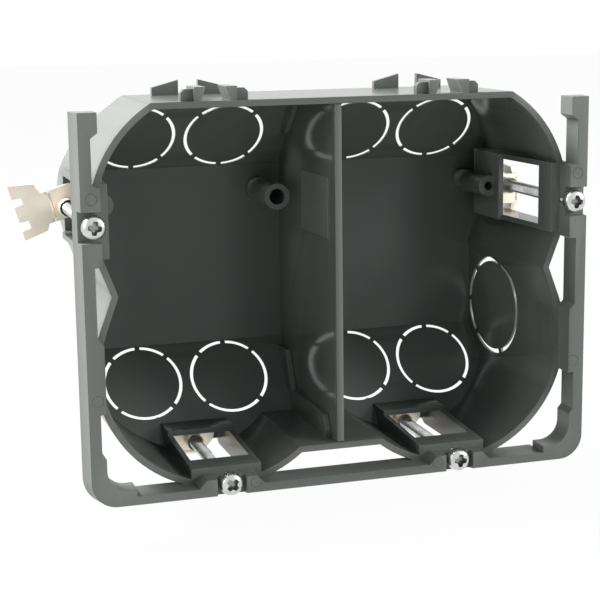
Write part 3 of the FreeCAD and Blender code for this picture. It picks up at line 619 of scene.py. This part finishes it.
# %% [markdown]
# ## Ejector marks
# Moulding pins push the box out of its mould and leave faint round marks on the frame's bosses.
# Each one is a very low ring that stands on the face of the frame.

# %% Rings on the bosses
MARKS = [(59.2, -22.9), (-59.8, -22.8), (59.5, 23.8), (-59.6, 23.2), (23.1, -45.6), (-23.1, -45.6)]
MARK_PROFILE = [(1.22, 0.02), (1.25, -0.05), (1.33, -0.05), (1.36, 0.02)]
MARK_MESH = to_mesh(spin(MARK_PROFILE, closed=True), "ejector_mark")
give_finish(MARK_MESH, PLASTIC)
for number, (across, up) in enumerate(MARKS):
    mark = add_object(f"ejector_mark_{number}", MARK_MESH)
    mark.location = wall_place(across, up)
    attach(mark, "box")
print("ejector marks:", len(MARKS))

# %% [markdown]
# ## Floor and background
# The photograph has a white ground. The floor is a pale matt sheet that stays white for the
# camera and for reflections, but keeps a trace of a contact shadow: the mix leaves three
# hundredths of the real shading in what the camera sees. The world is white for the camera and
# softer as a light. The floor lies just below the tips of the bottom claws when they are unfolded,
# so that no claw goes through it at a pose.

# %% Floor and world
GLOW_SHARE = 0.97
AMBIENT = 0.43
FLOOR_GAP = 0.2 * MM


def seen_directly(tree, share=1.0):
    """A mask with this value for rays from the camera, reflections and glass, and 0 for others."""
    path = add_node(tree, "ShaderNodeLightPath").outputs
    mask = combine(tree, "MAXIMUM", path["Is Camera Ray"], path["Is Glossy Ray"])
    mask = combine(tree, "MAXIMUM", mask, path["Is Transmission Ray"])
    return combine(tree, "MULTIPLY", mask, share)


def two_ways(tree, mask, plain, seen, output):
    """One shader for the light in the scene and another for what is seen directly."""
    mix = add_node(tree, "ShaderNodeMixShader")
    join(tree, mask, mix.inputs[0])
    join(tree, plain.outputs[0], mix.inputs[1])
    join(tree, seen.outputs[0], mix.inputs[2])
    join(tree, mix.outputs[0], output.inputs["Surface"])


floor_finish = bpy.data.materials.new("pale_floor")
floor_finish.use_nodes = True
floor_tree = floor_finish.node_tree
floor_tree.nodes.clear()
paper = add_node(floor_tree, "ShaderNodeBsdfDiffuse", in_Color=(0.5, 0.5, 0.5, 1))
glow = add_node(floor_tree, "ShaderNodeEmission")
floor_output = add_node(floor_tree, "ShaderNodeOutputMaterial")
two_ways(floor_tree, seen_directly(floor_tree, GLOW_SHARE), paper, glow, floor_output)

claw_reach = HINGE[0] + max(outward for outward, _ in TEETH)
lowest = min(cad_box[0][2], (SCREWS["bottom_left"][1] - claw_reach) * MM)
sheet = bmesh.new()
bmesh.ops.create_grid(sheet, x_segments=8, y_segments=8, size=3.0)
floor = add_object("pale_floor", to_mesh(sheet, "pale_floor"))
floor.location = (0, 0, lowest - FLOOR_GAP)
give_finish(floor.data, floor_finish)

world = bpy.data.worlds.new("white_ground")
world.use_nodes = True
bpy.context.scene.world = world
world_tree = world.node_tree
world_tree.nodes.clear()
ambient, white = (
    add_node(world_tree, "ShaderNodeBackground", in_Color=(1, 1, 1, 1), in_Strength=strength)
    for strength in (AMBIENT, 1.0)
)
world_output = add_node(world_tree, "ShaderNodeOutputWorld")
two_ways(world_tree, seen_directly(world_tree), ambient, white, world_output)
print("floor at", round(lowest, 5))

# %% [markdown]
# ## Studio light
# The photograph is lit softly from above and from the left: the left and top faces are pale and
# the inside of the box is dark. One large area lamp gives that, a weak one from the left lifts
# the side, and one from the front right grazes the frame's face without reaching far inside.
# Their power keeps a colour about as it is written.

# %% Lamps
def area_lamp(name, place, aim, size, power, colour=(1, 1, 1)):
    """A square lamp at a place in metres, turned towards a point."""
    data = bpy.data.lights.new(name, "AREA")
    data.shape = "SQUARE"
    data.size = size
    data.energy = power
    data.color = colour
    lamp = add_object(name, data)
    lamp.location = place
    lamp.rotation_euler = (Vector(aim) - Vector(place)).to_track_quat("-Z", "Y").to_euler()


area_lamp("key_lamp", (-0.38, 0.24, 0.56), (-0.02, 0.03, 0.01), 0.35, 16.5, (1, 0.965, 0.93))
area_lamp("side_lamp", (-0.62, -0.06, 0.20), (-0.04, 0.02, 0.0), 0.30, 1.9)
area_lamp("front_lamp", (0.55, -0.42, 0.28), (0.04, 0.0, 0.0), 0.30, 4.7)
print("lamps: 3")
